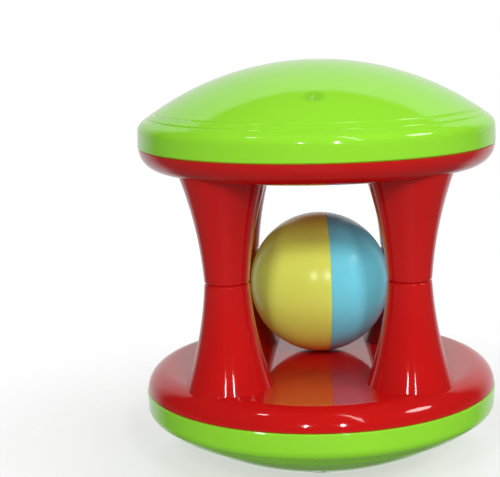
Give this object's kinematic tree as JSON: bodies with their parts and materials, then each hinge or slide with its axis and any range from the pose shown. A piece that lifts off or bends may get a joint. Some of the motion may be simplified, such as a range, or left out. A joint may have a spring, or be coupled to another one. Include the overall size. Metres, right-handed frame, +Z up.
{
  "type": "cage rattle",
  "caption": "Moulded plastic baby rattle: domed covers on round plates joined by flared posts, with a loose two-colour rattle ball caged between the posts.",
  "frame": {"origin": "middle of the flat at the pole of the bottom cover, where the toy stands", "axes": "+Z up through both poles, -Y towards the viewer, +X to the viewer's right"},
  "size_m": [0.115, 0.115, 0.1326],
  "materials": {
    "lime_plastic": "glossy moulded polystyrene",
    "red_plastic": "glossy moulded polystyrene",
    "yellow_plastic": "semi-gloss moulded polypropylene",
    "blue_plastic": "semi-gloss moulded polypropylene",
    "pellet_plastic": "tumbled polypropylene",
    "screw_steel": "zinc-plated"
  },
  "bodies": {
    "cage": {"bottom_cover": "lime_plastic", "lower_frame": "red_plastic", "upper_frame": "red_plastic", "top_cover": "lime_plastic", "post_screws": "screw_steel"},
    "pellet_1": {"rattle_pellet_1": "pellet_plastic"},
    "ball": {"ball_yellow_half": "yellow_plastic", "ball_blue_half": "blue_plastic"},
    "pellet_2": {"rattle_pellet_2": "pellet_plastic"},
    "pellet_3": {"rattle_pellet_3": "pellet_plastic"},
    "pellet_4": {"rattle_pellet_4": "pellet_plastic"},
    "pellet_5": {"rattle_pellet_5": "pellet_plastic"},
    "pellet_6": {"rattle_pellet_6": "pellet_plastic"}
  },
  "joints": [
    {"name": "ball_travel", "type": "slide", "parent": "cage", "child": "pellet_1", "axis": [0, -1, 0], "range_m": [0, 0.02655]},
    {"name": "ball_spin", "type": "hinge", "parent": "pellet_1", "child": "ball", "pos_m": [0, 0.01328, 0.05731], "axis": [0, 0, 1], "continuous": true},
    {"name": "pellet_2_roll", "type": "hinge", "parent": "pellet_1", "child": "pellet_2", "pos_m": [0, 0.01328, 0.05731], "axis": [0.9511, -0.309, 0], "range_deg": [0, 147]},
    {"name": "pellet_3_roll", "type": "hinge", "parent": "pellet_1", "child": "pellet_3", "pos_m": [0, 0.01328, 0.05731], "axis": [0.5878, 0.809, 0], "range_deg": [0, 147]},
    {"name": "pellet_4_roll", "type": "hinge", "parent": "pellet_1", "child": "pellet_4", "pos_m": [0, 0.01328, 0.05731], "axis": [-0.5878, 0.809, 0], "range_deg": [0, 147]},
    {"name": "pellet_5_roll", "type": "hinge", "parent": "pellet_1", "child": "pellet_5", "pos_m": [0, 0.01328, 0.05731], "axis": [-0.9511, -0.309, 0], "range_deg": [0, 147]},
    {"name": "pellet_6_roll", "type": "hinge", "parent": "pellet_1", "child": "pellet_6", "pos_m": [0, 0.01328, 0.05731], "axis": [0, -1, 0], "range_deg": [0, 147]}
  ]
}
